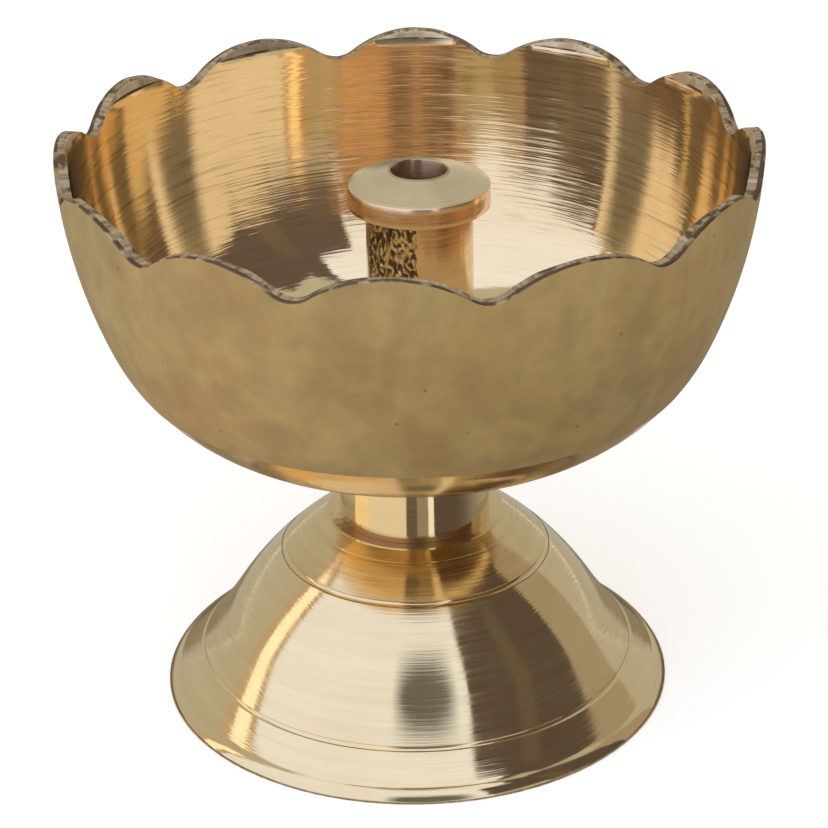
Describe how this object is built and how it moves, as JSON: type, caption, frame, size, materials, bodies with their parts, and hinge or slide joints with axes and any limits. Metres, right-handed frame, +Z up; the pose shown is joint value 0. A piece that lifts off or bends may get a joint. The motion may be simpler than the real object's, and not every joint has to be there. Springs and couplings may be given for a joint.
{
  "type": "butter lamp",
  "caption": "Brass butter lamp: a scalloped round bowl on a hollow bell-shaped pedestal, with a loose flanged post that holds an upright wick and lifts out.",
  "frame": {"origin": "centre of the pedestal's foot, on the surface that the lamp stands on", "axes": "+Z up along the lamp's turning axis; -Y is the side that the picture shows; the wick holder stands 1 mm towards +X"},
  "size_m": [0.076, 0.076, 0.0656],
  "materials": {
    "bowl_brass": "satin outside, turned bright inside",
    "pedestal_brass": "turned and polished",
    "holder_brass": "turned, rough casting skin on one side of the stem",
    "fastener_brass": "machined"
  },
  "bodies": {
    "lamp": {"bowl": "bowl_brass", "pedestal": "pedestal_brass", "clamp_bolt": "fastener_brass", "washer": "fastener_brass", "nut": "fastener_brass"},
    "wick_holder": {"wick_holder": "holder_brass"}
  },
  "joints": [
    {"name": "wick_holder_lift", "type": "slide", "parent": "lamp", "child": "wick_holder", "axis": [0, 0, 1], "range_m": [0, 0.04]}
  ]
}
